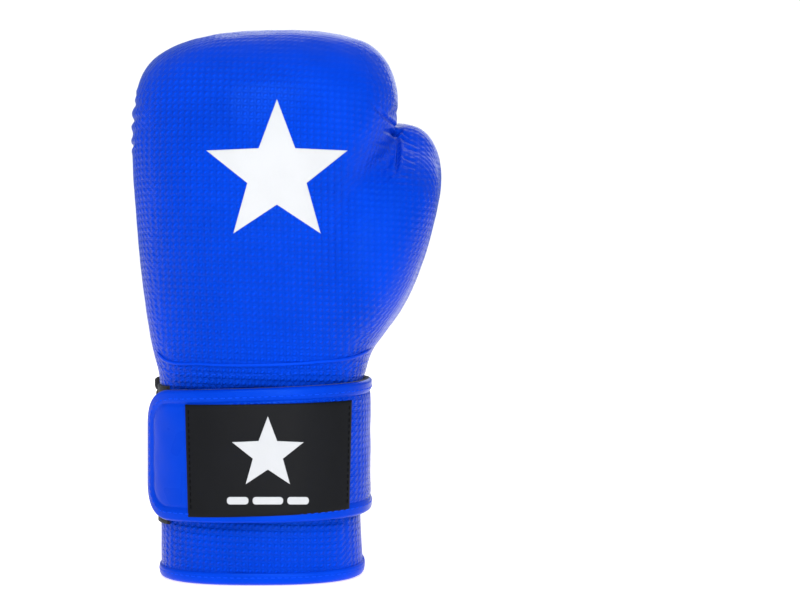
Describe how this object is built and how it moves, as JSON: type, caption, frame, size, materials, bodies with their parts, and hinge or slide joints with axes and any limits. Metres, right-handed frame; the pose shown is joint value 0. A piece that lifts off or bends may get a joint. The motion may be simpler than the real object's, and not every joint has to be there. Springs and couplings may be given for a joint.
{
  "type": "boxing glove",
  "caption": "Left-hand padded boxing glove with an attached thumb, a slit palm-side cuff and a wrap-around hook-and-loop wrist strap.",
  "frame": {"origin": "centre of the whole outline, on the plane of the cuff's hem, where the glove stands", "axes": "+Z from the cuff opening to the knuckles, +Y from the back of the hand to the palm, +X towards the thumb"},
  "size_m": [0.1684, 0.1248, 0.3],
  "materials": {
    "blue_leather": "semi-gloss embossed synthetic leather",
    "foam": "soft closed-cell padding",
    "black_lining": "matt woven lining",
    "black_elastic": "matt woven elastic",
    "hook_and_loop": "matt hook-and-loop tape",
    "label_rubber": "satin moulded patch",
    "eyelet_metal": "satin"
  },
  "bodies": {
    "mitt": {"back_panel": "blue_leather", "knuckle_foam_outer": "foam", "knuckle_foam_inner": "foam", "back_hand_foam": "foam", "pinky_side_foam": "foam", "thumb_side_foam": "foam", "hand_lining_back": "black_lining", "fist_roll_panel": "blue_leather", "fist_roll_foam": "foam", "finger_lining": "black_lining", "palm_panel": "blue_leather", "palm_foam": "foam", "hand_lining_palm": "black_lining", "vent_eyelet_1": "eyelet_metal", "vent_eyelet_2": "eyelet_metal", "slit_stop_patch": "blue_leather", "grip_bar": "foam", "thumb_passage_sleeve": "black_lining", "thumb_tether": "blue_leather", "wrist_yoke": "blue_leather", "wrist_yoke_foam": "foam", "cuff_back_panel": "blue_leather", "cuff_back_foam": "foam", "cuff_back_lining": "black_lining", "hem_binding_back": "blue_leather", "slit_gusset": "black_elastic", "strap_loop_patch": "hook_and_loop", "strap_elastic": "black_elastic"},
    "thumb": {"thumb_back_panel": "blue_leather", "thumb_palm_panel": "blue_leather", "thumb_back_foam": "foam", "thumb_palm_foam": "foam", "thumb_back_lining": "black_lining", "thumb_palm_lining": "black_lining"},
    "cuff_flap_pinky": {"cuff_flap_pinky_panel": "blue_leather", "cuff_flap_pinky_foam": "foam", "cuff_flap_pinky_lining": "black_lining", "flap_binding_pinky": "blue_leather"},
    "cuff_flap_thumb": {"cuff_flap_thumb_panel": "blue_leather", "cuff_flap_thumb_foam": "foam", "cuff_flap_thumb_lining": "black_lining", "flap_binding_thumb": "blue_leather"},
    "strap_base": {"strap_base_cover": "blue_leather", "strap_base_lining": "black_lining", "strap_base_binding_top": "blue_leather", "strap_base_binding_bottom": "blue_leather"},
    "strap_tab": {"strap_tab_binding": "blue_leather", "strap_tab_cover": "blue_leather", "strap_tab_lining": "black_lining", "strap_label": "label_rubber", "strap_hook_patch": "hook_and_loop"}
  },
  "joints": [
    {"name": "thumb_flex", "type": "hinge", "parent": "mitt", "child": "thumb", "pos_m": [0.04325, 0.01345, 0.14], "axis": [0, 1, 0], "range_deg": [0, 4.5], "stiffness_Nm_per_rad": 4, "springref_deg": -2.86},
    {"name": "strap_open", "type": "hinge", "parent": "mitt", "child": "strap_base", "pos_m": [-0.07235, 0.00045, 0.07], "axis": [0, 0, 1], "range_deg": [0, 60]},
    {"name": "tab_open", "type": "hinge", "parent": "strap_base", "child": "strap_tab", "pos_m": [0.04695, -0.00055, 0.07], "axis": [0, 0, 1], "range_deg": [0, 150]},
    {"name": "pinky_flap_open", "type": "hinge", "parent": "mitt", "child": "cuff_flap_pinky", "pos_m": [-0.06925, -0.00455, 0.052], "axis": [0, 0, 1], "range_deg": [0, 12]},
    {"name": "thumb_flap_open", "type": "hinge", "parent": "mitt", "child": "cuff_flap_thumb", "pos_m": [0.04295, -0.00455, 0.052], "axis": [0, 0, -1], "range_deg": [0, 12]}
  ],
  "couplings": [
    {"joint": "strap_open", "follows": "tab_open", "ratio": 0.4},
    {"joint": "pinky_flap_open", "follows": "tab_open", "ratio": 0.08},
    {"joint": "thumb_flap_open", "follows": "tab_open", "ratio": 0.08}
  ]
}
